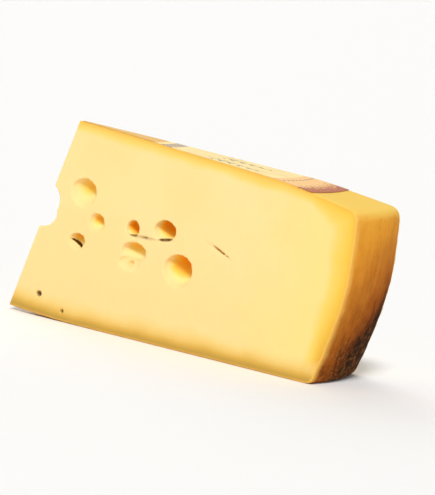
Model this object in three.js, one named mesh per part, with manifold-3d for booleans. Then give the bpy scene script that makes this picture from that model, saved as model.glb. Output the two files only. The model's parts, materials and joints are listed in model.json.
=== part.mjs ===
// A wedge of hard alpine cheese: one sector of a round wheel with a bulged side, a low domed top and a
// flat bottom, with eyes in both cut faces, and its sector of the wheel's paper label on top.
// Millimetres, +Z up. The pieces are made about the wheel's own axis, with +X along the middle of the
// wedge from nose to heel. The group then brings the origin under the middle of the wedge's box.

import * as THREE from 'three';
import { mergeVertices } from 'three/addons/utils/BufferGeometryUtils.js';
import Module from 'manifold-3d';

const wasm = await Module();
wasm.setup();

// The wheel
const wheelHeight = 84; // at its middle
const wheelRadius = 146.5; // at the widest level of its side
const widestLevel = 46;
const lowerTuck = 9; // how far the side draws in from the widest level to the bottom
const upperTuck = 2; // and towards the level of the middle of the top
const bulgeRoundness = 0.6; // how slowly the side turns in, from 0 for a sharp ridge
const topFall = 0.067; // the top's slope, for each millimetre out from the middle
const shoulderFrom = 108; // beyond this radius the top falls faster
const shoulderSpan = 36;
const shoulderDrop = 3.2;
const shoulderPower = 1.2;
const topCorner = 4.5; // a rounded corner starts this far from the sharp one, on both sides
const bottomCorner = 3;

// The two cuts
const sectorAngle = THREE.MathUtils.degToRad(22.5);
const noseAtBottom = -11; // the nose's place along the front cut, from the wheel's axis
const noseAtTop = 9.5;
const noseRadius = 0.5;
const noseLift = 1.8; // how far the bottom of the nose stands clear of the table
const noseLiftReach = 40;

// The label
const labelRadius = 123;
const labelThickness = 0.3;
const labelGap = 0.3; // between the rind and the label

// Eyes: the middle of each on its cut face, measured along from the wheel's axis and up from the table,
// its half width, half height and depth, and how far its deepest place lies towards the heel and the top,
// so that its lower wall near the nose is a gentle slope and its upper wall is undercut
const frontEyes = [
  { along: 16.9, up: 54, wide: 6.2, tall: 5.6, deep: 3.6, lean: 4 },
  { along: 25.5, up: 43.3, wide: 3.7, tall: 3.6, deep: 3.2, lean: 2.6 },
  { along: 17.4, up: 34, wide: 3.6, tall: 3.4, deep: 4.2, lean: 2.6 },
  { along: 43.2, up: 44.4, wide: 3.3, tall: 3.3, deep: 5.5, lean: 2.4 },
  { along: 58.7, up: 46.3, wide: 5.4, tall: 4.4, deep: 7, lean: 3.6 },
  { along: 45.4, up: 34.8, wide: 6, tall: 4, deep: 4.2, lean: 3.6 },
  { along: 44, up: 30, wide: 4.6, tall: 3.3, deep: 2.4, lean: 2.4 },
  { along: 67.5, up: 31.6, wide: 7, tall: 6.1, deep: 6.8, lean: 5.5 },
];
const backEyes = [
  { along: 27, up: 61, wide: 3.9, tall: 3.6, deep: 4, lean: 2.5 },
  { along: 33, up: 34, wide: 5.1, tall: 4.6, deep: 5, lean: 3.5 },
  { along: 46, up: 51.5, wide: 6.2, tall: 5.4, deep: 6, lean: 5 },
  { along: 57.5, up: 37.5, wide: 4.3, tall: 3.9, deep: 4.5, lean: 3 },
  { along: 71, up: 50, wide: 5, tall: 4.6, deep: 5.5, lean: 4 },
  { along: 84, up: 32, wide: 6, tall: 5.4, deep: 6, lean: 5 },
  { along: 101, up: 46, wide: 3.6, tall: 3.3, deep: 3.5, lean: 2 },
];
const eyeLean = THREE.MathUtils.degToRad(57); // upwards, on the cut face
const eyeUnevenness = 0.03;
const notchUnevenness = 0.01;

// Two eyes that run together and are cut open right through the nose
const noseNotch = [
  { along: -2.7, up: 47.8, wide: 8.7, tall: 8.6, deep: 12, lean: 0 },
  { along: -1.6, up: 43.2, wide: 7.2, tall: 6.1, deep: 12, lean: 0 },
];

// Narrow splits in the front face, from one end to the other, and pits left by small gas bubbles
const splits = [
  { from: [78.5, 46.6], to: [92.5, 40.6], halfOpening: 0.45, deep: 3.5 },
  { from: [42.8, 41.7], to: [54.5, 42], halfOpening: 0.5, deep: 4 },
  { from: [56, 42.2], to: [62.8, 43.5], halfOpening: 0.5, deep: 4.5 },
  { from: [14.6, 34.5], to: [19.8, 32.1], halfOpening: 0.4, deep: 5.5 },
];
const pits = [
  { along: 3.2, up: 9.2, radius: 1.3, deep: 2.6 },
  { along: 15.7, up: 4.4, radius: 0.9, deep: 2 },
  { along: 44.2, up: 30.2, radius: 1.4, deep: 3.2 },
];

// Each hollow's own uneven shape comes from its seed, counted on from the first of its kind
const firstSeeds = { front: 1, back: 11, notch: 31, split: 41, pit: 51 };

// Fineness of the facets
const wheelSegments = 320;
const cornerSteps = 5;
const footSteps = 6;
const sideSteps = 18;
const sideStepsClear = 3; // left plain beside each rounded corner
const topSteps = 7;
const topStepsClear = 4;
const labelSteps = 10;
const noseSteps = 6;
const largeEyeDetail = 3;
const smallEyeDetail = 2;
const largeEyeFrom = 4.5;
const pitDetail = 1;

const up = new THREE.Vector3(0, 0, 1);
const half = sectorAngle / 2;
const frontWay = new THREE.Vector3(Math.cos(half), -Math.sin(half), 0);
const backWay = new THREE.Vector3(Math.cos(half), Math.sin(half), 0);
const noseSlant = (noseAtTop - noseAtBottom) / wheelHeight;
const noseLine = frontWay.clone().multiplyScalar(noseSlant).add(up);
const intoFront = new THREE.Vector3().crossVectors(up, frontWay).normalize();
const intoBack = new THREE.Vector3().crossVectors(backWay, noseLine).normalize();

// A closed three.js mesh as a solid that can be joined and cut
function solidFrom(geometry) {
  const bare = geometry.clone();
  bare.deleteAttribute('normal');
  bare.deleteAttribute('uv');
  const merged = mergeVertices(bare);
  const corners = merged.index.array;
  const kept = [];
  for (let i = 0; i < corners.length; i += 3) {
    const [a, b, c] = [corners[i], corners[i + 1], corners[i + 2]];
    if (a !== b && b !== c && c !== a) kept.push(a, b, c);
  }
  const vertProperties = merged.attributes.position.array;
  return new wasm.Manifold(new wasm.Mesh({ numProp: 3, vertProperties, triVerts: new Uint32Array(kept) }));
}

// A solid as a named three.js mesh
function meshFrom(solid, name, material) {
  const { vertProperties, triVerts } = solid.getMesh();
  const geometry = new THREE.BufferGeometry();
  geometry.setAttribute('position', new THREE.BufferAttribute(vertProperties, 3));
  geometry.setIndex(new THREE.BufferAttribute(triVerts, 1));
  geometry.computeVertexNormals();
  const mesh = new THREE.Mesh(geometry, material);
  mesh.name = name;
  return mesh;
}

// The radius of the wheel's bulged side at a level above the table
function sideRadius(level) {
  const below = level < widestLevel;
  const reach = below ? widestLevel : wheelHeight - widestLevel;
  const tuck = below ? lowerTuck : upperTuck;
  const bend = (share) => Math.hypot(share, bulgeRoundness) - bulgeRoundness;
  return wheelRadius - (tuck * bend((level - widestLevel) / reach)) / bend(1);
}

// The level of the wheel's domed top at a radius
function topLevel(radius) {
  const shoulder = Math.max(0, (radius - shoulderFrom) / shoulderSpan);
  return wheelHeight - topFall * radius - shoulderDrop * shoulder ** shoulderPower;
}

// Evenly spaced numbers from one to another, both included
function steps(from, to, count) {
  return Array.from({ length: count + 1 }, (_, i) => from + ((to - from) * i) / count);
}

function rounded(before, corner, after) {
  return new THREE.QuadraticBezierCurve(before, corner, after).getPoints(cornerSteps);
}

// The side and the top depend on each other, and a few rounds settle where they meet
function radiusWhereSideMeetsTop() {
  const rounds = 10;
  let radius = wheelRadius;
  for (let i = 0; i < rounds; i += 1) radius = sideRadius(topLevel(radius));
  return radius;
}

// Half of the wheel's section, from the axis at the bottom, round the side, to the axis at the top
function wheelProfile() {
  const rimRadius = radiusWhereSideMeetsTop();
  const rimLevel = topLevel(rimRadius);
  const footRadius = sideRadius(0);
  const sideFrom = bottomCorner + sideStepsClear;
  const sideTo = rimLevel - topCorner - sideStepsClear;
  const topFrom = rimRadius - topCorner - topStepsClear;
  const point = (radius, level) => new THREE.Vector2(radius, level);
  return [
    ...steps(0, noseLiftReach, footSteps).map((radius) => point(radius, 0)),
    ...rounded(
      point(footRadius - bottomCorner, 0),
      point(footRadius, 0),
      point(sideRadius(bottomCorner), bottomCorner),
    ),
    ...steps(sideFrom, sideTo, sideSteps).map((level) => point(sideRadius(level), level)),
    ...rounded(
      point(sideRadius(rimLevel - topCorner), rimLevel - topCorner),
      point(rimRadius, rimLevel),
      point(rimRadius - topCorner, topLevel(rimRadius - topCorner)),
    ),
    ...steps(topFrom, shoulderFrom, topSteps).map((radius) => point(radius, topLevel(radius))),
    point(0, wheelHeight),
  ];
}

// A closed section turned about the upright axis
function turned(profile) {
  return new THREE.LatheGeometry(profile, wheelSegments).rotateX(Math.PI / 2);
}

// The whole wheel, flat underneath but for where the nose stands clear of the table
function wheel() {
  const geometry = turned(wheelProfile());
  const place = geometry.attributes.position;
  const nearTable = 0.01;
  for (let i = 0; i < place.count; i += 1) {
    const share = 1 - (place.getX(i) - noseAtBottom) / noseLiftReach;
    if (place.getZ(i) < nearTable && share > 0) place.setZ(i, noseLift * Math.min(1, share) ** 2);
  }
  return geometry;
}

// The space between the two cuts: upright in front, and leaning with the nose at the back
function betweenCuts() {
  const tipBack = noseRadius / Math.sin(half);
  const apex = frontWay.clone().multiplyScalar(noseAtBottom - tipBack + noseRadius);
  const reach = 1.5 * wheelRadius;
  const frontFar = frontWay.clone().multiplyScalar(reach).add(apex);
  const backFar = backWay.clone().multiplyScalar(reach).add(apex);
  const quarter = Math.PI / 2;
  const outline = new THREE.Shape();
  outline.absarc(apex.x + tipBack, apex.y, noseRadius, quarter + half, 3 * quarter - half, false);
  outline.lineTo(frontFar.x, frontFar.y);
  outline.lineTo(backFar.x, backFar.y);
  const margin = 10;
  const prism = new THREE.ExtrudeGeometry(outline, {
    depth: wheelHeight + 2 * margin,
    bevelEnabled: false,
    curveSegments: noseSteps,
  });
  prism.translate(0, 0, -margin);
  const lean = new THREE.Matrix4();
  lean.elements[8] = noseLine.x;
  lean.elements[9] = noseLine.y;
  return prism.applyMatrix4(lean);
}

// A ball made uneven by a few slow waves, which differ from one seed to the next
function unevenBall(detail, seed, unevenness) {
  const ball = new THREE.IcosahedronGeometry(1, detail);
  const place = ball.attributes.position;
  const point = new THREE.Vector3();
  for (let i = 0; i < place.count; i += 1) {
    point.fromBufferAttribute(place, i);
    const wave =
      Math.sin(3 * point.x + 1.7 * seed) + Math.sin(3 * point.y + 2.9 * seed) + Math.sin(4 * point.z + seed);
    point.multiplyScalar(1 + unevenness * wave);
    place.setXYZ(i, point.x, point.y, point.z);
  }
  return ball;
}

// A ball stretched so that each of its axes becomes one of the three given
function hollow(ball, centre, axes) {
  const place = new THREE.Matrix4().makeBasis(...axes).setPosition(centre);
  return solidFrom(ball.applyMatrix4(place));
}

function onFront(along, level) {
  return frontWay.clone().multiplyScalar(along).addScaledVector(up, level);
}

function onBack(along, level) {
  const noseAlong = noseAtBottom + noseSlant * level;
  return onFront(noseAlong, level).addScaledVector(backWay, along - noseAlong);
}

function eyes(list, pointOn, way, inward, unevenness, firstSeed) {
  const leanWay = way.clone().multiplyScalar(Math.cos(eyeLean)).addScaledVector(up, Math.sin(eyeLean));
  const downWay = new THREE.Vector3().crossVectors(inward, way);
  return list.map((eye, index) => {
    const detail = eye.wide < largeEyeFrom ? smallEyeDetail : largeEyeDetail;
    const axes = [
      way.clone().multiplyScalar(eye.wide),
      downWay.clone().multiplyScalar(eye.tall),
      inward.clone().multiplyScalar(eye.deep).addScaledVector(leanWay, eye.lean),
    ];
    return hollow(unevenBall(detail, firstSeed + index, unevenness), pointOn(eye.along, eye.up), axes);
  });
}

function splitHollows() {
  return splits.map((split, index) => {
    const from = onFront(...split.from);
    const halfRun = onFront(...split.to).sub(from).multiplyScalar(0.5);
    const axes = [
      halfRun,
      new THREE.Vector3().crossVectors(intoFront, halfRun).setLength(split.halfOpening),
      intoFront.clone().multiplyScalar(split.deep),
    ];
    const ball = unevenBall(smallEyeDetail, firstSeeds.split + index, eyeUnevenness);
    return hollow(ball, from.add(halfRun), axes);
  });
}

function pitHollows() {
  return pits.map((pit, index) => {
    const axes = [
      frontWay.clone().multiplyScalar(pit.radius),
      up.clone().multiplyScalar(-pit.radius),
      intoFront.clone().multiplyScalar(pit.deep),
    ];
    const ball = unevenBall(pitDetail, firstSeeds.pit + index, eyeUnevenness);
    return hollow(ball, onFront(pit.along, pit.up), axes);
  });
}

function cheeseWedge(cuts) {
  const hollows = [
    ...eyes(frontEyes, onFront, frontWay, intoFront, eyeUnevenness, firstSeeds.front),
    ...eyes(backEyes, onBack, backWay, intoBack, eyeUnevenness, firstSeeds.back),
    ...eyes(noseNotch, onFront, frontWay, intoFront, notchUnevenness, firstSeeds.notch),
    ...splitHollows(),
    ...pitHollows(),
  ];
  const paste = new THREE.MeshStandardMaterial({ color: 0xfde49b, roughness: 0.55, metalness: 0 });
  let wedge = solidFrom(wheel()).intersect(cuts);
  for (const one of hollows) wedge = wedge.subtract(one);
  return meshFrom(wedge, 'cheese_wedge', paste);
}

// The label follows the top at a small gap, out to its round edge
function paperLabel(cuts) {
  const radii = steps(0, labelRadius, labelSteps);
  const above = (gap) => radii.map((radius) => new THREE.Vector2(radius, topLevel(radius) + gap));
  const profile = [...above(labelGap), ...above(labelGap + labelThickness).reverse()];
  const paper = new THREE.MeshStandardMaterial({ color: 0xf6dfae, roughness: 0.75, metalness: 0 });
  return meshFrom(solidFrom(turned(profile)).intersect(cuts), 'paper_label', paper);
}

const cuts = solidFrom(betweenCuts());
const group = new THREE.Group();
group.add(cheeseWedge(cuts), paperLabel(cuts));

const box = new THREE.Box3().setFromObject(group);
const middle = box.getCenter(new THREE.Vector3());
group.position.set(-middle.x, -middle.y, -box.min.z);

export default group;
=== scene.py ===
import json
import math
from functools import partial

import bmesh
import bpy
import numpy as np
from mathutils import Matrix, Vector, noise

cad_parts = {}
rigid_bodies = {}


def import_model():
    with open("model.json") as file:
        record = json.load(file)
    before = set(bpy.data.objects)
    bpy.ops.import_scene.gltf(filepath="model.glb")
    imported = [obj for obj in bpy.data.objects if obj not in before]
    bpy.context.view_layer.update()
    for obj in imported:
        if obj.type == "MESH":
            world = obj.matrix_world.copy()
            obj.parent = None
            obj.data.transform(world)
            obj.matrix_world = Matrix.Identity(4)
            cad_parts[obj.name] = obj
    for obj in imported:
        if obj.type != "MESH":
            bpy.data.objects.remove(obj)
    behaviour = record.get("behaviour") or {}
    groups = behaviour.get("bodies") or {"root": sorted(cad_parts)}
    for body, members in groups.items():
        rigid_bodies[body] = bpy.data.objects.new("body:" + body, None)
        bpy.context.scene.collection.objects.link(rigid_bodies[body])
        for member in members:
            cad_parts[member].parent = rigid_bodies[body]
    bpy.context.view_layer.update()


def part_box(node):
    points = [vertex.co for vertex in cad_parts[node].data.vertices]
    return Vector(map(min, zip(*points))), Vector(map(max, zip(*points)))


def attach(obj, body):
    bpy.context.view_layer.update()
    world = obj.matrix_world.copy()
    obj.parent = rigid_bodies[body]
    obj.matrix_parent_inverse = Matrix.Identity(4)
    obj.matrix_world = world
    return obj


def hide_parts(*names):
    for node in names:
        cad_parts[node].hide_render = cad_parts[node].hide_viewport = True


# A wedge of hard alpine cheese and its sector of the wheel's paper label.
# Sizes in the dictionaries are millimetres about the wheel's own axis, with +X from nose to heel.
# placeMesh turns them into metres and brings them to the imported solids.

# What Blender's own start file holds
for name in ("Cube", "Light", "Camera"):
    if name in bpy.data.objects:
        bpy.data.objects.remove(bpy.data.objects[name])
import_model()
mm = 0.001

wheel = {
    "height": 84,
    "radius": 146.5,  # at the widest level of the side
    "widestLevel": 46,
    "lowerTuck": 9,  # how far the side draws in below and above that
    "upperTuck": 2,
    "bulgeRoundness": 0.6,
    "topFall": 0.067,
    "shoulderFrom": 108,  # beyond this radius the top falls faster
    "shoulderSpan": 36,
    "shoulderDrop": 3.2,
    "shoulderPower": 1.2,
    "topCorner": 4.5,
    "bottomCorner": 3,
    "innerRadius": 1,  # where the section starts beside the axis
    "cornerGap": 1,  # between a rounded corner and the next step
    "rimRounds": 10,
    "turns": 480,  # steps round the whole wheel
    "underSteps": 30,
    "sideSteps": 50,
    "topSteps": 60,
    "cornerSteps": 8,
}

knifeCuts = {
    "angle": math.radians(22.5),
    "noseAtBottom": -11,
    "noseAtTop": 9.5,
    "noseRadius": 0.5,
    "noseSteps": 13,
    "noseLift": 1.8,  # under the nose the knife lifted the wedge off the table a little
    "noseLiftReach": 40,
    "reach": 1.5,  # of the wheel's radius, so that the cuts pass its side
    "passBy": 10,  # and pass its foot and top
}

halfAngle = knifeCuts["angle"] / 2
noseSlant = (knifeCuts["noseAtTop"] - knifeCuts["noseAtBottom"]) / wheel["height"]
apexSetback = knifeCuts["noseRadius"] / math.sin(halfAngle) - knifeCuts["noseRadius"]
frontWay = Vector((math.cos(halfAngle), -math.sin(halfAngle), 0))
backWay = Vector((math.cos(halfAngle), math.sin(halfAngle), 0))
upWay = Vector((0, 0, 1))
intoFront = upWay.cross(frontWay).normalized()
intoBack = backWay.cross(frontWay * noseSlant + upWay).normalized()
apexFoot = frontWay * (knifeCuts["noseAtBottom"] - apexSetback)


# How far each value has gone from one number to another, from 0 to 1
def shareOf(values, start, end):
    return np.clip((values - start) / (end - start), 0, 1)


def sideRadius(level):
    below = np.less(level, wheel["widestLevel"])
    reach = np.where(below, wheel["widestLevel"], wheel["height"] - wheel["widestLevel"])
    tuck = np.where(below, wheel["lowerTuck"], wheel["upperTuck"])
    soft = wheel["bulgeRoundness"]
    bend = np.hypot((level - wheel["widestLevel"]) / reach, soft) - soft
    return wheel["radius"] - tuck * bend / (math.hypot(1, soft) - soft)


def topLevel(radius):
    shoulder = np.maximum(0, (radius - wheel["shoulderFrom"]) / wheel["shoulderSpan"])
    drop = wheel["shoulderDrop"] * shoulder ** wheel["shoulderPower"]
    return wheel["height"] - wheel["topFall"] * radius - drop


def footLevel(x):
    noseAt = knifeCuts["noseAtBottom"]
    return knifeCuts["noseLift"] * shareOf(x, noseAt + knifeCuts["noseLiftReach"], noseAt) ** 2


def roundedCorner(before, corner, after):
    shares = np.linspace(0, 1, wheel["cornerSteps"] + 1)
    return [before * (1 - t) ** 2 + corner * 2 * t * (1 - t) + after * t * t for t in shares]


# Half of the wheel's section, without its two points on the axis
def wheelProfile():
    rim = wheel["radius"]
    for _ in range(wheel["rimRounds"]):  # settles where the side and the top meet
        rim = sideRadius(topLevel(rim))
    rimLevel, foot = topLevel(rim), sideRadius(0)
    top, low = wheel["topCorner"], wheel["bottomCorner"]
    inner, gap = wheel["innerRadius"], wheel["cornerGap"]
    underRadii = np.linspace(inner, knifeCuts["noseLiftReach"], wheel["underSteps"])
    points = [Vector((radius, 0)) for radius in underRadii]
    points += roundedCorner(Vector((foot - low, 0)), Vector((foot, 0)), Vector((sideRadius(low), low)))
    sideLevels = np.linspace(low + gap, rimLevel - top - gap, wheel["sideSteps"])
    points += [Vector((sideRadius(level), level)) for level in sideLevels]
    points += roundedCorner(
        Vector((sideRadius(rimLevel - top), rimLevel - top)),
        Vector((rim, rimLevel)),
        Vector((rim - top, topLevel(rim - top))),
    )
    topRadii = np.linspace(rim - top - gap, inner, wheel["topSteps"])
    return points + [Vector((radius, topLevel(radius))) for radius in topRadii]


def newObject(name, vertices, faces):
    mesh = bpy.data.meshes.new(name)
    mesh.from_pydata([tuple(v) for v in vertices], [], faces)
    made = bpy.data.objects.new(name, mesh)
    bpy.context.scene.collection.objects.link(made)
    return made


def spunWheel():
    profile, turns = wheelProfile(), wheel["turns"]
    rows = len(profile)
    vertices = []
    for step in range(turns):
        turn = 2 * math.pi * step / turns
        for p in profile:
            x = p.x * math.cos(turn)
            vertices.append((x, p.x * math.sin(turn), p.y or footLevel(x)))
    vertices += [(0, 0, footLevel(0)), (0, 0, wheel["height"])]
    under, over = len(vertices) - 2, len(vertices) - 1
    faces = []
    for step in range(turns):
        a, b = step * rows, (step + 1) % turns * rows
        faces += [(a + i, b + i, b + i + 1, a + i + 1) for i in range(rows - 1)]
        faces += [(under, b, a), (over, a + rows - 1, b + rows - 1)]
    return newObject("wheel", vertices, faces)


# The space between the two cuts, which lean with the nose
def knifePrism():
    centre = apexFoot + Vector((knifeCuts["noseRadius"] / math.sin(halfAngle), 0, 0))
    fromTurn, toTurn = math.pi / 2 + halfAngle, 1.5 * math.pi - halfAngle
    outline = [
        centre + knifeCuts["noseRadius"] * Vector((math.cos(t), math.sin(t), 0))
        for t in np.linspace(fromTurn, toTurn, knifeCuts["noseSteps"])
    ]
    reach, passBy = knifeCuts["reach"] * wheel["radius"], knifeCuts["passBy"]
    outline += [apexFoot + frontWay * reach, apexFoot + backWay * reach]
    lean = frontWay * noseSlant + upWay
    vertices = [p + lean * level for level in (-passBy, wheel["height"] + passBy) for p in outline]
    count = len(outline)
    faces = [tuple(reversed(range(count))), tuple(range(count, 2 * count))]
    faces += [(i, (i + 1) % count, (i + 1) % count + count, i + count) for i in range(count)]
    return newObject("knifePrism", vertices, faces)


# Gas holes that the knife opened. Each has its middle on the cut face, measured along from the wheel's
# axis and up from the table, then its half width and half height there, its depth, how far its deepest
# place lies towards the heel and the top, so that its lower wall near the nose is a gentle slope, and
# how amber its walls look
eyes = {
    "front": [
        (16.9, 54, 6.2, 5.6, 3.6, 4, 1.1),
        (25.5, 43.3, 3.7, 3.6, 3.2, 2.6, 1.6),
        (17.4, 34, 3.6, 3.4, 4.2, 2.6, 1.3),
        (43.2, 44.4, 3.3, 3.3, 5.5, 2.4, 2.1),
        (58.7, 46.3, 5.4, 4.4, 7, 3.6, 1.35),
        (45.4, 34.8, 6, 4, 4.2, 3.6, 1.05),
        (44, 30, 4.6, 3.3, 2.4, 2.4, 0.9),
        (67.5, 31.6, 7, 6.1, 6.8, 5.5, 1.1),
    ],
    "back": [
        (27, 61, 3.9, 3.6, 4, 2.5, 1),
        (33, 34, 5.1, 4.6, 5, 3.5, 1),
        (46, 51.5, 6.2, 5.4, 6, 5, 1),
        (57.5, 37.5, 4.3, 3.9, 4.5, 3, 1),
        (71, 50, 5, 4.6, 5.5, 4, 1),
        (84, 32, 6, 5.4, 6, 5, 1),
        (101, 46, 3.6, 3.3, 3.5, 2, 1),
    ],
    "notch": [(-2.7, 47.8, 8.7, 8.6, 12, 0, 0.4), (-1.6, 43.2, 7.2, 6.1, 12, 0, 0.4)],
    # Narrow splits, from one end to the other, with half opening, depth and how much painted shade darkens
    # them inside
    "splits": [
        (78.5, 46.6, 92.5, 40.6, 0.45, 3.5, 0.2),
        (42.8, 41.7, 54.5, 42, 0.5, 4, 0.8),
        (56, 42.2, 62.8, 43.5, 0.5, 4.5, 0.8),
        (14.6, 34.5, 19.8, 32.1, 0.4, 5.5, 1),
    ],
    # Pits left by small bubbles, with their radius, depth and how much painted shade darkens them
    "pits": [(3.2, 9.2, 1.3, 2.6, 0.7), (15.7, 4.4, 0.9, 2, 0.5), (44.2, 30.2, 1.4, 3.2, 0.1)],
    "lean": math.radians(57),  # upwards, on the cut face
    "unevenness": 0.03,
    "notchUnevenness": 0.01,
    "waveCounts": (3, 3, 4),  # of the slow waves that make a hollow uneven, and how they shift by its seed
    "waveShifts": (1.7, 2.9, 1),
    "fineness": 4,
    "pitFineness": 3,
    "firstSeeds": {"front": 1, "back": 11, "notch": 31, "splits": 41, "pits": 51},
    "amberReach": 1.25,  # of an eye's half width and half height
    # Where the painted shade of splits and pits ends about them, and where it starts behind the cut face
    "splitMargins": (0.15, 0.5),
    "splitEdge": (1.5, 1.2),
    "splitStarts": (-0.3, 0.9),
    "pitEdge": (1.3, 1),
    "pitStarts": (0.2, 1.4),
    "behindPit": 1,
}


def onFront(along, level):
    return frontWay * along + upWay * level


def onBack(along, level):
    noseAlong = knifeCuts["noseAtBottom"] + noseSlant * level
    return onFront(noseAlong, level) + backWay * (along - noseAlong)


# A ball made uneven by a few slow waves, then stretched so that each of its axes becomes one of the three
def addHollow(seed, centre, axes, unevenness, fineness=eyes["fineness"]):
    ball = bmesh.new()
    bmesh.ops.create_icosphere(ball, subdivisions=fineness, radius=1)
    for vertex in ball.verts:
        parts = zip(eyes["waveCounts"], vertex.co, eyes["waveShifts"])
        wave = sum(math.sin(count * place + shift * seed) for count, place, shift in parts)
        vertex.co = vertex.co * (1 + unevenness * wave)
    ball.transform(Matrix.Translation(centre) @ Matrix(axes).transposed().to_4x4())
    mesh = bpy.data.meshes.new("hollow")
    ball.to_mesh(mesh)
    ball.free()
    hollows.objects.link(bpy.data.objects.new("hollow", mesh))


def addEyes(group, pointOn, way, inward, unevenness):
    leanWay = way * math.cos(eyes["lean"]) + upWay * math.sin(eyes["lean"])
    firstSeed = eyes["firstSeeds"][group]
    for seed, (along, level, wide, tall, deep, lean, _) in enumerate(eyes[group], firstSeed):
        axes = (way * wide, inward.cross(way) * tall, inward * deep + leanWay * lean)
        addHollow(seed, pointOn(along, level), axes, unevenness)


def addHollows():
    addEyes("front", onFront, frontWay, intoFront, eyes["unevenness"])
    addEyes("back", onBack, backWay, intoBack, eyes["unevenness"])
    addEyes("notch", onFront, frontWay, intoFront, eyes["notchUnevenness"])
    seeds = eyes["firstSeeds"]
    for seed, (fromX, fromZ, toX, toZ, opening, deep, _) in enumerate(eyes["splits"], seeds["splits"]):
        halfRun = (onFront(toX, toZ) - onFront(fromX, fromZ)) / 2
        axes = (halfRun, intoFront.cross(halfRun).normalized() * opening, intoFront * deep)
        addHollow(seed, onFront(fromX, fromZ) + halfRun, axes, eyes["unevenness"])
    for seed, (along, level, radius, deep, _) in enumerate(eyes["pits"], seeds["pits"]):
        axes = (frontWay * radius, -upWay * radius, intoFront * deep)
        addHollow(seed, onFront(along, level), axes, eyes["unevenness"], eyes["pitFineness"])


def applyModifiers(target):
    evaluated = target.evaluated_get(bpy.context.evaluated_depsgraph_get())
    mesh = bpy.data.meshes.new_from_object(evaluated)
    target.modifiers.clear()
    target.data = mesh


def removeObjects(objects):
    for one in list(objects):
        bpy.data.objects.remove(one)


# How the fine mesh of the wedge is made and what unevenness it has, all towards the inside. Pairs are the
# places where a wave or zone starts and where it is whole
cheeseForm = {
    "voxel": 0.4,
    "softening": 0.5,
    "smoothing": 4,
    "keptFaces": 0.36,  # share left where the flat stretches are thinned out
    "waveLength": 34,
    "waveSeeds": {"top": 1, "side": 2, "front": 3, "back": 4, "relief": 5},
    "seedSteps": (7.3, 3.1, 5.7),  # how far apart in the noise two seeds lie
    "waveMiddle": 0.5,
    "waveStrength": 0.8,
    "topWave": 0.35,
    "topWaveLevels": (55, 77),
    "sideWave": 0.5,
    "sideWaveRadii": (118, 142),
    "cutWave": 0.3,
    "cutWaveDepths": (8, 0),
    "cutWaveRadii": (4, 24),
    "relief": ((0.3, 7), (0.16, 2.4)),  # of the brushed rind at the heel: depth and length of its waves
    "reliefDepths": (3, 0),
    "topZone": 6.4,  # depth of the drier paste under the top and behind the heel
    "heelZone": 15,
    "heelZoneRadii": (124, 138),
}


# Slow waves from 0 to 1, the same for the same points
def waves(points, length, kind):
    form = cheeseForm
    shift = Vector([form["waveSeeds"][kind] * step for step in form["seedSteps"]])
    heights = np.array([noise.noise(Vector(p) / length + shift) for p in points])
    return (form["waveMiddle"] + form["waveStrength"] * heights).clip(0, 1)


# Bends points in millimetres as the real wheel is uneven, the same for the cheese and its label
def settled(points):
    form, length = cheeseForm, cheeseForm["waveLength"]
    x, y, z = points.T
    radius = np.hypot(x, y)
    moved = points.copy()
    topWave = form["topWave"] * shareOf(z, *form["topWaveLevels"])
    moved[:, 2] -= topWave * waves(points * (1, 1, 0), length, "top")
    inward = form["sideWave"] * shareOf(radius, *form["sideWaveRadii"]) * waves(points, length, "side")
    onSide = shareOf(sideRadius(z) - radius, *form["reliefDepths"])
    for depth, reliefLength in form["relief"]:
        inward += depth * onSide * waves(points, reliefLength, "relief")
    moved[:, :2] -= (points[:, :2] / np.maximum(radius, wheel["innerRadius"])[:, None]) * inward[:, None]
    for way, offset, cut in ((intoFront, Vector(), "front"), (intoBack, apexFoot, "back")):
        depth = (points - np.array(offset)) @ np.array(way)
        near = shareOf(depth, *form["cutWaveDepths"]) * shareOf(radius, *form["cutWaveRadii"])
        moved += np.array(way) * (form["cutWave"] * near * waves(points, length, cut))[:, None]
    return moved


# From millimetres about the wheel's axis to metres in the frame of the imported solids
def placeMesh(target, points):
    target.data.vertices.foreach_set("co", ((points + axisPlace) * mm).astype(np.float32).ravel())
    target.data.update()


def readPoints(target):
    points = np.zeros(len(target.data.vertices) * 3, np.float32)
    target.data.vertices.foreach_get("co", points)
    return points.reshape(-1, 3).astype(float)


# Distance from the surface near a rounded corner between two surfaces
def depthInCorner(first, second, corner):
    around = np.hypot((corner - first).clip(0), (corner - second).clip(0))
    return corner - around + (np.minimum(first, second) - corner).clip(0)


# How amber the walls of each eye look
def amberOf(points):
    amber = np.ones(len(points))
    onCuts = (("front", onFront, frontWay), ("notch", onFront, frontWay), ("back", onBack, backWay))
    for group, pointOn, way in onCuts:
        for along, level, wide, tall, _, _, share in eyes[group]:
            offset = points - np.array(pointOn(along, level))
            across, over = offset @ np.array(way) / wide, offset @ np.array(upWay) / tall
            amber[np.hypot(across, over) < eyes["amberReach"]] = share
    return amber
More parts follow.
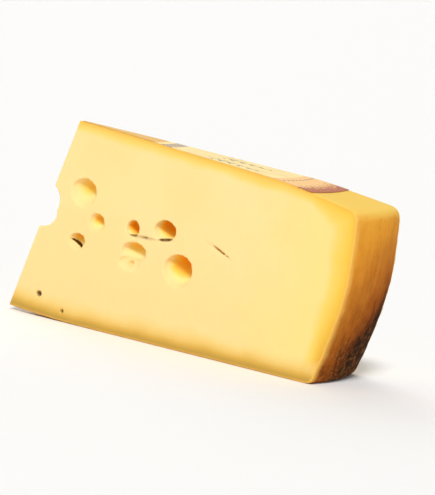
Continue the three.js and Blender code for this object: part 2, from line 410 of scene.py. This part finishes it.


# How much painted shade darkens each place in a split or pit
def creviceShadeOf(points, behindFront):
    darkness = np.zeros(len(points))
    besideSplit, behindSplit = eyes["splitMargins"]
    for fromX, fromZ, toX, toZ, opening, deep, dark in eyes["splits"]:
        halfRun = (onFront(toX, toZ) - onFront(fromX, fromZ)) / 2
        tall = intoFront.cross(halfRun).normalized()
        offset = points - np.array(onFront(fromX, fromZ) + halfRun)
        along = offset @ np.array(halfRun) / halfRun.length_squared
        across = offset @ np.array(tall) / (opening + besideSplit)
        inwards = offset @ np.array(intoFront) / (deep + behindSplit)
        inSplit = shareOf(along**2 + across**2 + inwards**2, *eyes["splitEdge"])
        inSplit = dark * inSplit * shareOf(behindFront, *eyes["splitStarts"])
        darkness = np.maximum(darkness, inSplit)
    for along, level, radius, deep, dark in eyes["pits"]:
        offset = points - np.array(onFront(along, level))
        away = np.hypot(offset @ np.array(frontWay), offset @ np.array(upWay)) / radius
        inPit = shareOf(away, *eyes["pitEdge"]) * (behindFront < deep + eyes["behindPit"])
        darkness = np.maximum(darkness, dark * inPit * shareOf(behindFront, *eyes["pitStarts"]))
    return darkness


# How far each point lies under the rind, how far under the top or behind the heel as a share of the
# drier zone there, how far behind the nearer cut, how deep in an eye that looks, and how much painted shade
# darkens a split or pit
def storeDepths(target, points):
    x, y, z = points.T
    radius = np.hypot(x, y)
    underSide = sideRadius(z) - radius
    upper = depthInCorner(topLevel(radius) - z, underSide, wheel["topCorner"]).clip(0)
    lower = depthInCorner(z - footLevel(x), underSide, wheel["bottomCorner"]).clip(0)
    nearHeel = shareOf(radius, *cheeseForm["heelZoneRadii"])
    zone = cheeseForm["topZone"] + (cheeseForm["heelZone"] - cheeseForm["topZone"]) * nearHeel
    behindFront = points @ np.array(intoFront)
    behindBack = (points - np.array(apexFoot)) @ np.array(intoBack)
    behindCut = np.minimum(behindFront, behindBack)
    depths = {
        "rindDepth": np.minimum(upper, lower),
        "zoneShare": upper / zone,
        "cutDepth": behindCut,
        "eyeDepth": behindCut * amberOf(points),
        "creviceShade": creviceShadeOf(points, behindFront),
    }
    for name, values in depths.items():
        stored = target.data.attributes.new(name, "FLOAT", "POINT")
        stored.data.foreach_set("value", values.astype(np.float32))


hollows = bpy.data.collections.new("hollows")
bpy.context.scene.collection.children.link(hollows)
addHollows()
cheese = spunWheel()
cheese.name = cheese.data.name = "alpineCheese"
prism = knifePrism()
between = cheese.modifiers.new("between", "BOOLEAN")
between.operation, between.solver, between.object = "INTERSECT", "MANIFOLD", prism
opened = cheese.modifiers.new("opened", "BOOLEAN")
opened.operation, opened.solver, opened.operand_type = "DIFFERENCE", "MANIFOLD", "COLLECTION"
opened.collection = hollows
applyModifiers(cheese)
removeObjects([prism, *hollows.objects])
bpy.data.collections.remove(hollows)
print("cut the wedge from the wheel and opened its eyes:", len(cheese.data.polygons), "faces")

ownPoints = readPoints(cheese)
ownMiddle = (ownPoints.min(0) + ownPoints.max(0)) / 2
cadLow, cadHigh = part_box("cheese_wedge")
axisPlace = np.array((cadLow + cadHigh) / 2) / mm - ownMiddle
axisPlace[2] = 0
print("wheel's axis in the frame, mm:", axisPlace.round(3).tolist())

remesh = cheese.modifiers.new("remesh", "REMESH")
remesh.mode, remesh.voxel_size, remesh.use_smooth_shade = "VOXEL", cheeseForm["voxel"], True
soften = cheese.modifiers.new("soften", "SMOOTH")
soften.factor, soften.iterations = cheeseForm["softening"], cheeseForm["smoothing"]
thin = cheese.modifiers.new("thin", "DECIMATE")
thin.ratio = cheeseForm["keptFaces"]
applyModifiers(cheese)
finePoints = readPoints(cheese)
storeDepths(cheese, finePoints)
placeMesh(cheese, settled(finePoints))
print("fine mesh of the wedge:", len(cheese.data.polygons), "faces")

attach(cheese, "root")
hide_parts("cheese_wedge")


# The label: thin paper glued to the rind, cut with the cheese
label = {
    "radius": 123,
    "start": 11,  # where the sector is wide enough to hold paper
    "thickness": 0.16,
    "clearance": 0.05,
    "inset": 0.08,  # the paper's cut edge lies this far inside the cut faces
    "rows": 150,
    "columns": 40,
}


# The turns of the paper's two cut edges at a radius
def edgeTurns(radius):
    apex = apexFoot + frontWay * noseSlant * topLevel(radius)
    toApex = apex.dot(backWay)
    far = apex + backWay * (math.sqrt(toApex**2 - apex.dot(apex) + radius**2) - toApex)
    margin = label["inset"] / radius
    return -halfAngle + margin, math.atan2(far.y, far.x) - margin


def labelSheet():
    vertices, rows, columns = [], label["rows"], label["columns"]
    for above in (label["clearance"], label["clearance"] + label["thickness"]):
        for radius in np.linspace(label["start"], label["radius"], rows):
            level = topLevel(radius) + above
            for turn in np.linspace(*edgeTurns(radius), columns):
                vertices.append((radius * math.cos(turn), radius * math.sin(turn), level))
    size = rows * columns
    faces = []
    for i in range(rows - 1):
        for a in range(i * columns, (i + 1) * columns - 1):
            b, c, d = a + columns, a + columns + 1, a + 1
            faces += [(a, d, c, b), (a + size, b + size, c + size, d + size)]
    border = [(0, j) for j in range(columns)] + [(i, columns - 1) for i in range(1, rows)]
    border += [(rows - 1, j) for j in range(columns - 2, -1, -1)] + [(i, 0) for i in range(rows - 2, 0, -1)]
    loop = [i * columns + j for i, j in border]
    for a, b in zip(loop, loop[1:] + loop[:1]):
        faces.append((b, a, a + size, b + size))
    return newObject("paperLabel", vertices, faces)


paper = labelSheet()
placeMesh(paper, settled(readPoints(paper)))
for face in paper.data.polygons:
    face.use_smooth = True
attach(paper, "root")
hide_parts("paper_label")
print("label:", len(paper.data.polygons), "faces")


# From an sRGB hex colour to linear light, by the sRGB standard's own numbers
def toLinear(hexColour):
    parts = [int(hexColour[i : i + 2], 16) / 255 for i in (1, 3, 5)]
    return (*[c / 12.92 if c < 0.04045 else ((c + 0.055) / 1.055) ** 2.4 for c in parts], 1)


# Adds a node with its settings. Its inputs are given in their order or by name, as numbers, sRGB hex
# colours, sockets, or nodes, which stand for their first output
def addNode(tree, kind, inputs=(), **settings):
    node = tree.nodes.new("ShaderNode" + kind)
    for name, value in settings.items():
        setattr(node, name, value)
    for socket, value in inputs.items() if isinstance(inputs, dict) else enumerate(inputs):
        if isinstance(value, bpy.types.Node):
            value = value.outputs[0]
        if isinstance(value, bpy.types.NodeSocket):
            tree.links.new(value, node.inputs[socket])
        else:
            node.inputs[socket].default_value = toLinear(value) if isinstance(value, str) else value
    return node


# Fills a new colour ramp
def setStops(ramp, stops):
    elements = ramp.color_ramp.elements
    elements.remove(elements[1])
    for index, (place, colour) in enumerate(stops):
        element = elements.new(place) if index else elements[0]
        element.position, element.color = place, toLinear(colour)
    return ramp


# Where a Mix node keeps its sockets for colours
mixSockets = {"share": 0, "under": 6, "over": 7, "mixed": 2}


# Lays coats of colour over one another, each through its own mask
def laidOver(add, colour, *coats):
    share, under, over = mixSockets["share"], mixSockets["under"], mixSockets["over"]
    for mask, coat in coats:
        mix = add("Mix", {share: mask, under: colour, over: coat}, data_type="RGBA")
        colour = mix.outputs[mixSockets["mixed"]]
    return colour


def newMaterial(name):
    material = bpy.data.materials.new(name)
    material.use_nodes = True
    material.node_tree.nodes.clear()
    return material, partial(addNode, material.node_tree)


# The place in millimetres about the wheel's axis, and its radius, turn, level and height over the foot
def addPlace(add):
    metres = add("TexCoord").outputs["Object"]
    place = add("Mapping", {"Vector": metres, "Scale": (1 / mm,) * 3, "Location": -Vector(axisPlace)})
    axes = add("SeparateXYZ", [place])
    flat = add("VectorMath", [place, (1, 1, 0)], operation="MULTIPLY")
    radius = add("VectorMath", [flat], operation="LENGTH").outputs["Value"]
    turn = add("Math", [axes.outputs["Y"], axes.outputs["X"]], operation="ARCTAN2")
    level, noseAt = axes.outputs["Z"], knifeCuts["noseAtBottom"]
    nearNose = add("MapRange", [axes.outputs["X"], noseAt + knifeCuts["noseLiftReach"], noseAt])
    lift = add("Math", [nearNose, nearNose], operation="MULTIPLY")
    overFoot = add("Math", [lift, -knifeCuts["noseLift"], level], operation="MULTIPLY_ADD")
    return place, {"radius": radius, "turn": turn, "level": level, "overFoot": overFoot}


# Uneven patterns, each with the size of its waves across and upright, its detail and its roughness
def addPatterns(add, place, sizes):
    patterns = {}
    for name, (across, upright, detail, roughness) in sizes.items():
        scaled = add("VectorMath", [place, (1 / across, 1 / across, 1 / upright)], operation="MULTIPLY")
        inputs = {"Vector": scaled, "Scale": 1, "Detail": detail, "Roughness": roughness}
        patterns[name] = add("TexNoise", inputs)
    return patterns


# Ranges give where a mask starts and where it ends, and then, if not 0 and 1, its strength at each
cheeseLook = {
    # Millimetres across and upright, detail and roughness. The grain of paste and the pores of rind are
    # finer than half a millimetre, too fine to show, so both are drawn coarser
    "patterns": {
        "clouds": (33, 33, 4, 0.5),
        "waver": (14, 14, 3, 0.5),
        "blotches": (11, 11, 9, 0.68),
        "streaks": (1.8, 20, 3, 0.5),
        "scuffs": (6.2, 6.2, 9, 0.75),
        "wear": (2.6, 2, 6, 0.7),
        "grain": (2, 2, 6, 0.6),
        "pores": (0.77, 0.77, 5, 0.65),
    },
    # Pressed paste of cow's milk, cut with a knife: pale yellow and waxy, with light that spreads a little
    # under its surface. It gets deeper towards the foot of the nose and yellower towards the heel
    "paste": ((0.35, "#fcdb9b"), (0.65, "#fbd792")),
    "lowPaste": "#fbd493",
    "lowPasteLevels": (60, 12),
    "lowPasteRadii": (130, 30, 0.35, 1),
    "heelPaste": "#fcda86",
    "heelPasteRadii": (96, 134, 0, 0.8),
    # The drier zone under the rind, by the share of its depth, with an uneven inner edge. Over the foot
    # the same zone is drawn darker and duller, as painted shade under the wedge
    "topZone": ((0, "#ebb450"), (0.15, "#f0c25a"), (0.45, "#fbd06f"), (1, "#fcdb98")),
    "heelZone": ((0, "#ebb54c"), (0.15, "#f2c54e"), (0.45, "#facf67"), (1, "#fcdb96")),
    "heelZoneRadii": (118, 132),
    "shadedFootZone": (
        (0, "#b69755"), (0.15, "#c09a45"), (0.3, "#d7ad53"),
        (0.45, "#e5c16d"), (0.7, "#edcc7e"), (1, "#f6d490"),
    ),
    "shadedFootZoneDepth": 11,
    "zoneStretch": (0, 1, 0.6, 1.4),
    "zoneEdge": (0.5, 1, 1, 0),
    "heelCorner": "#d9a53e",
    "heelCornerLevels": (42, 8),
    "heelCornerRadii": (112, 134, 0, 0.75),
    "heelCornerShares": (0.4, 0.05),
    "skin": "#efb552",
    "skinDepths": (0.5, 1.1, 0.6, 0),
    # Walls of gas holes: light comes back to them through the paste, so deeper ones look more orange
    "eye": ((0.2, "#fbdf90"), (0.42, "#f7cb56"), (0.62, "#f7b43c"), (0.85, "#f8a322"), (1, "#f29614")),
    "eyeReach": 6.5,
    "eyeSlopes": (0, 0.6, 0, 2.6),  # walls that face up get light directly and look less deep by so much
    "eyeDepths": (1.5, 3.5),
    "eyeRindDepths": (3, 8),
    # Painted shade inside splits and pits
    "creviceShade": "#4a2e0c",
    # Washed, brushed and dried rind: matt, amber at the shoulder and browner lower down, partly its own
    # colour and partly painted shade, with more painted shade low on its far side
    "rindDepths": (0.55, 0.25),
    "rind": (
        (0, "#2e1503"), (0.12, "#6e3408"), (0.3, "#a85a16"),
        (0.58, "#cc7c26"), (0.8, "#e7982f"), (1, "#f3ab3a"),
    ),
    "rindLevels": (5, 74, 0.28, 1),
    "blotchShare": 0.5,
    "streakShare": 0.3,
    "farLowShadeBy": 0.36,
    "farShadeTurns": (-0.19, 0.17, 0, 0.75),
    "lowShadeLevels": (80, 10, 0.1, 1),
    "scuff": "#2a1404",
    "scuffLevels": (42, 4, 0, 0.65),
    "scuffEdge": (0.5, 0.68),
    "worn": "#b9783a",
    "wornLevels": (32, 0, 0, 0.85),
    "wornEdge": (0.47, 0.7),
    "edgeHighlight": "#f7c05c",  # along the cuts, a painted highlight where the rind's rounded edge catches the light
    "edgeHighlightFrom": 0.6,
    "edgeHighlightReaches": (0.3, 0.7, 2.6, 6),
    "edgeHighlightShare": 0.9,
    "rindTop": "#f8cb60",
    "rindTopSlopes": (0.12, 0.85),
    "rindFoot": "#d2a04e",
    "rindFootLevels": (42, 4),
    "rindFootRadii": (134, 128),
    "roughness": (0.45, 0.9),  # of the paste and of the rind
    "bumpStrengths": (0.12, 0.7),
    "bumpDepth": 0.6,
    "ior": 1.4,
    "shine": 0.06,
    "glow": 0.25,  # share of light that travels under the surface
    "glowReach": 3,
    "glowSpread": (1, 0.6, 0.25),  # of red, green and blue light
}


# Paste, the zone under the rind, the walls of eyes, and splits and pits with painted shade in them
def pasteColour(add, here):
    look = cheeseLook
    paste = setStops(add("ValToRGB", [here["clouds"]]), look["paste"])
    nearNose = add("MapRange", [here["radius"], *look["lowPasteRadii"]])
    low = add("MapRange", [here["level"], *look["lowPasteLevels"], 0, nearNose])
    nearHeel = add("MapRange", [here["radius"], *look["heelPasteRadii"]])
    paste = laidOver(add, paste, (low, look["lowPaste"]), (nearHeel, look["heelPaste"]))

    stretch = add("MapRange", [here["waver"], *look["zoneStretch"]])
    share = add("Math", [here["zoneShare"], stretch], operation="MULTIPLY")
    # Over the foot the zone is darkened and dulled as painted shade
    shadedFootShare = add("Math", [here["overFoot"], look["shadedFootZoneDepth"]], operation="DIVIDE")
    shadedFootShare = add("Math", [shadedFootShare, stretch], operation="MULTIPLY")
    topZone = setStops(add("ValToRGB", [share]), look["topZone"])
    heelZone = setStops(add("ValToRGB", [share]), look["heelZone"])
    shadedFootZone = setStops(add("ValToRGB", [shadedFootShare]), look["shadedFootZone"])
    behindHeel = add("MapRange", [here["radius"], *look["heelZoneRadii"]])
    atHeel = add("MapRange", [here["radius"], *look["heelCornerRadii"]])
    lowAtHeel = add("MapRange", [here["level"], *look["heelCornerLevels"], 0, atHeel])
    inCorner = add("MapRange", [share, *look["heelCornerShares"], 0, lowAtHeel])
    zone = laidOver(add, topZone, (behindHeel, heelZone), (inCorner, look["heelCorner"]))
    inZone = add("MapRange", [share, *look["zoneEdge"]])
    inShadedFootZone = add("MapRange", [shadedFootShare, *look["zoneEdge"]])

    direct = add("MapRange", [here["slope"], *look["eyeSlopes"]])
    seemingDepth = add("Math", [here["eyeDepth"], direct], operation="SUBTRACT")
    eyeShare = add("Math", [seemingDepth, look["eyeReach"]], operation="DIVIDE")
    eye = setStops(add("ValToRGB", [eyeShare]), look["eye"])
    clearOfRind = add("MapRange", [here["rindDepth"], *look["eyeRindDepths"]])
    inEye = add("MapRange", [here["eyeDepth"], *look["eyeDepths"], 0, clearOfRind])
    underRind = add("MapRange", [here["rindDepth"], *look["skinDepths"]])
    zones = ((inZone, zone), (inShadedFootZone, shadedFootZone), (underRind, look["skin"]))
    return laidOver(add, paste, *zones, (inEye, eye), (here["creviceShade"], look["creviceShade"]))


# Rind, with a tone that goes by level, partly its own colour and partly painted shade, darkened by painted
# shade low on its far side, with blotches and upright streaks
def rindColour(add, here):
    look = cheeseLook
    # Painted shade: the heel is darkened low down and towards its far side
    farSide = add("MapRange", [here["turn"], *look["farShadeTurns"]])
    lowDown = add("MapRange", [here["level"], *look["lowShadeLevels"]])
    farLowShade = add("Math", [farSide, lowDown, look["farLowShadeBy"]], operation="MULTIPLY_ADD")
    tone = add("MapRange", [here["level"], *look["rindLevels"]])
    tone = add("Math", [here["blotches"], look["blotchShare"], tone], operation="MULTIPLY_ADD")
    tone = add("Math", [here["streaks"], look["streakShare"], tone], operation="MULTIPLY_ADD")
    tone = add("Math", [tone, farLowShade], operation="SUBTRACT")
    rind = setStops(add("ValToRGB", [tone]), look["rind"])

    scuffed = add("MapRange", [here["level"], *look["scuffLevels"]])
    scuffed = add("MapRange", [here["scuffs"], *look["scuffEdge"], 0, scuffed])
    worn = add("MapRange", [here["level"], *look["wornLevels"]])
    worn = add("MapRange", [here["wear"], *look["wornEdge"], 0, worn])
    # A pale line along the cuts, a painted highlight on the rind's edge
    edgeHighlightReach = add("MapRange", [here["waver"], *look["edgeHighlightReaches"]])
    onEdgeHighlight = add("MapRange", [here["cutDepth"], look["edgeHighlightFrom"], edgeHighlightReach, look["edgeHighlightShare"], 0])
    onTop = add("MapRange", [here["slope"], *look["rindTopSlopes"]])
    onFoot = add("MapRange", [here["level"], *look["rindFootLevels"]])
    onFoot = add("MapRange", [here["radius"], *look["rindFootRadii"], 0, onFoot])
    coats = ((scuffed, "scuff"), (worn, "worn"), (onEdgeHighlight, "edgeHighlight"), (onTop, "rindTop"), (onFoot, "rindFoot"))
    return laidOver(add, rind, *[(mask, look[name]) for mask, name in coats])


def cheeseMaterial():
    look = cheeseLook
    material, add = newMaterial("pressed cheese paste and washed rind")
    place, here = addPlace(add)
    here.update(addPatterns(add, place, look["patterns"]))
    here["slope"] = add("SeparateXYZ", [add("NewGeometry").outputs["Normal"]]).outputs["Z"]
    for name in ("rindDepth", "zoneShare", "cutDepth", "eyeDepth", "creviceShade"):
        here[name] = add("Attribute", attribute_name=name).outputs["Fac"]
    onRind = add("MapRange", [here["rindDepth"], *look["rindDepths"]])
    colour = laidOver(add, pasteColour(add, here), (onRind, rindColour(add, here)))

    # The paste's fine grain is shallow, and the rind's closer pores are deeper
    height = add("Mix", {"Factor": onRind, "A": here["grain"], "B": here["pores"]})
    strength = add("MapRange", [onRind, 0, 1, *look["bumpStrengths"]])
    bump = add("Bump", {"Strength": strength, "Distance": look["bumpDepth"] * mm, "Height": height})
    surface = {
        "Base Color": colour,
        "Roughness": add("MapRange", [onRind, 0, 1, *look["roughness"]]),
        "IOR": look["ior"],
        "Specular IOR Level": look["shine"],
        "Normal": bump,
        "Subsurface Weight": look["glow"],
        "Subsurface Radius": look["glowSpread"],
        "Subsurface Scale": look["glowReach"] * mm,
    }
    add("OutputMaterial", {"Surface": add("BsdfPrincipled", surface)})
    return material


labelLook = {
    # Uncoated paper printed in muted inks: matt, and gone yellow from the fat of the cheese. The specks of
    # print and the fibres are drawn coarser than real ones, so that they show
    "patterns": {"stains": (8.3, 8.3, 5, 0.5), "specks": (0.9, 0.9, 2, 0.5), "fibres": (2.9, 2.9, 4, 0.5)},
    "paper": "#fbe09a",
    "stained": "#f1d28a",
    "stainEdge": (0.45, 0.75),
    "field": "#e4b358",
    "fieldRadius": 47,
    # A ring of checks, light and dark by turns
    "lightCheck": "#ead9b8",
    "darkCheck": "#7a4a2e",
    "checkRing": (50, 55),
    "checks": 200,  # round the whole label
    # Sprigs: a thin stem and leaves that get shorter outwards, with degrees from one to the next
    "sprig": "#6f7766",
    "sprigTurn": 9,
    "stemRing": (70, 93),
    "stemHalfWidth": 0.25,
    "leafRing": (73, 95),
    "leafSpacing": 2.2,
    "leafLengths": (4.2, 0.6),
    "leafHalfWidth": 0.85,
    "motifShift": 0.77,  # of the way from one motif to the next
    # Border: a blush band with a row of dots, then russet that thickens outwards in specks
    "blush": "#f7c681",
    "blushRing": (104, 124),
    "dot": "#5a2a2c",
    "dotRing": 108,
    "dotTurn": 2,
    "dotRadius": 0.7,
    "russet": "#b5683f",
    "russetRadii": (112, 121, 0.72, 0.3),
    "roughness": 0.6,
    "ior": 1.47,
    "shine": 0.25,
    "bumpStrength": 0.2,
    "bumpDepth": 0.4,
}


def ringMask(add, radius, inner, outer):
    outside = add("Math", [radius, inner], operation="GREATER_THAN")
    inside = add("Math", [radius, outer], operation="LESS_THAN")
    return add("Math", [outside, inside], operation="MULTIPLY")


# Distance round the circle, in millimetres, to the nearest of motifs that repeat every few degrees
def besideMotif(add, turn, radius, degrees):
    step = math.radians(degrees)
    shifted = add("Math", [turn, math.pi + step * labelLook["motifShift"]], operation="ADD")
    folded = add("Math", [shifted, step / 2], operation="PINGPONG")
    return add("Math", [folded, radius], operation="MULTIPLY")


def checkColour(add, turn):
    turned = add("Math", [turn, labelLook["checks"] / 2], operation="MULTIPLY")
    wave = add("Math", [turned], operation="SINE")
    dark = add("Math", [wave, 0], operation="GREATER_THAN")
    return laidOver(add, labelLook["lightCheck"], (dark, labelLook["darkCheck"]))


def sprigMask(add, turn, radius):
    look = labelLook
    beside = besideMotif(add, turn, radius, look["sprigTurn"])
    stem = add("Math", [beside, look["stemHalfWidth"]], operation="LESS_THAN")
    stem = add("Math", [stem, ringMask(add, radius, *look["stemRing"])], operation="MULTIPLY")
    fromFoot = add("Math", [radius, beside], operation="SUBTRACT")
    leafRow = add("Math", [fromFoot, look["leafSpacing"]], operation="PINGPONG")
    leafLength = add("MapRange", [radius, *look["leafRing"], *look["leafLengths"]])
    along = add("Math", [beside, leafLength], operation="DIVIDE")
    halfTurn = add("Math", [along, math.pi], operation="MULTIPLY")
    arch = add("Math", [halfTurn], operation="SINE")
    halfLeaf = add("Math", [arch, look["leafHalfWidth"]], operation="MULTIPLY")
    leaf = add("Math", [leafRow, halfLeaf], operation="LESS_THAN")
    inLength = add("Math", [along, 1], operation="LESS_THAN")
    leaf = add("Math", [leaf, inLength], operation="MULTIPLY")
    leaf = add("Math", [leaf, ringMask(add, radius, *look["leafRing"])], operation="MULTIPLY")
    return add("Math", [leaf, stem], operation="MAXIMUM")


def dotMask(add, turn, radius):
    besideDot = besideMotif(add, turn, radius, labelLook["dotTurn"])
    offRing = add("Math", [radius, labelLook["dotRing"]], operation="SUBTRACT")
    offDot = add("VectorMath", [add("CombineXYZ", [besideDot, offRing])], operation="LENGTH")
    return add("Math", [offDot.outputs["Value"], labelLook["dotRadius"]], operation="LESS_THAN")


def russetMask(add, radius, specks):
    threshold = add("MapRange", [radius, *labelLook["russetRadii"]])
    russet = add("Math", [specks, threshold], operation="GREATER_THAN")
    outside = add("Math", [radius, labelLook["russetRadii"][0]], operation="GREATER_THAN")
    return add("Math", [russet, outside], operation="MULTIPLY")


def labelMaterial():
    look = labelLook
    material, add = newMaterial("printed uncoated paper")
    place, here = addPlace(add)
    patterns = addPatterns(add, place, look["patterns"])
    radius, turn = here["radius"], here["turn"]
    coats = (
        (add("MapRange", [patterns["stains"], *look["stainEdge"]]), look["stained"]),
        (add("Math", [radius, look["fieldRadius"]], operation="LESS_THAN"), look["field"]),
        (ringMask(add, radius, *look["checkRing"]), checkColour(add, turn)),
        (sprigMask(add, turn, radius), look["sprig"]),
        (ringMask(add, radius, *look["blushRing"]), look["blush"]),
        (dotMask(add, turn, radius), look["dot"]),
        (russetMask(add, radius, patterns["specks"]), look["russet"]),
    )
    bump = {
        "Strength": look["bumpStrength"],
        "Distance": look["bumpDepth"] * mm,
        "Height": patterns["fibres"],
    }
    surface = {
        "Base Color": laidOver(add, look["paper"], *coats),
        "Roughness": look["roughness"],
        "IOR": look["ior"],
        "Specular IOR Level": look["shine"],
        "Normal": add("Bump", bump),
    }
    add("OutputMaterial", {"Surface": add("BsdfPrincipled", surface)})
    return material


cheese.data.materials.clear()
cheese.data.materials.append(cheeseMaterial())
paper.data.materials.append(labelMaterial())
print("materials set")


# Studio: a pale floor that runs far back, a soft key from above on the right and light from all round
studio = {
    "floorSize": 40,  # metres
    "floor": "#f5f4f2",
    "floorRoughness": 0.9,
    "world": "#ffffff",
    "brightness": (0.15, 0.4, 0.93, 0.3),  # between two slopes, at the horizon and above
    # Each lamp: where it shines from, strength and width
    "lamps": {
        "key": ((0.189, -0.623, 0.759), 2.35, math.radians(14)),
        "fill": ((-0.55, 0.65, 0.5), 0.9, math.radians(50)),
    },
}


def addStudio():
    bpy.ops.mesh.primitive_plane_add(size=studio["floorSize"])
    floor = bpy.context.object
    floor.name = "floor"
    material, add = newMaterial("matt studio floor")
    surface = add("BsdfPrincipled", {"Base Color": studio["floor"], "Roughness": studio["floorRoughness"]})
    add("OutputMaterial", {"Surface": surface})
    floor.data.materials.append(material)
    for name, (shinesFrom, strength, width) in studio["lamps"].items():
        lamp = bpy.data.lights.new(name, "SUN")
        lamp.energy, lamp.angle = strength, width
        held = bpy.data.objects.new(name, lamp)
        held.rotation_euler = Vector(shinesFrom).to_track_quat("Z", "Y").to_euler()
        bpy.context.scene.collection.objects.link(held)
    world = bpy.data.worlds.new("soft surroundings")
    bpy.context.scene.world = world
    world.use_nodes = True
    world.node_tree.nodes.clear()
    add = partial(addNode, world.node_tree)
    direction = add("SeparateXYZ", [add("TexCoord").outputs["Generated"]])
    brightness = add("MapRange", [direction.outputs["Z"], *studio["brightness"]])
    background = add("Background", {"Color": studio["world"], "Strength": brightness})
    add("OutputWorld", {"Surface": background})


# The camera stands where the picture of the wedge was taken from, turned a little about its own axis
camera = {
    "aim": (77, 0, 43),  # millimetres about the wheel's axis
    "around": math.radians(19.83),
    "above": math.radians(5.84),
    "roll": math.radians(9.65),
    "distance": 1500,
    "lens": 269,
    "farthest": 100,  # metres
}


def addCamera():
    a, e, roll = camera["around"], camera["above"], camera["roll"]
    back = Vector((math.sin(a) * math.cos(e), -math.cos(a) * math.cos(e), math.sin(e)))
    right = Vector((math.cos(a), math.sin(a), 0))
    across = right * math.cos(roll) + back.cross(right) * math.sin(roll)
    turn = Matrix((across, back.cross(across), back)).transposed().to_4x4()
    aim = Vector(camera["aim"]) + Vector(axisPlace)
    seen = bpy.data.cameras.new("camera")
    seen.lens, seen.clip_end = camera["lens"], camera["farthest"]
    held = bpy.data.objects.new("camera", seen)
    held.matrix_world = Matrix.Translation((aim + back * camera["distance"]) * mm) @ turn
    bpy.context.scene.collection.objects.link(held)
    bpy.context.scene.camera = held


addStudio()
addCamera()
bpy.context.scene.view_settings.view_transform = "Standard"
print("studio and camera set")
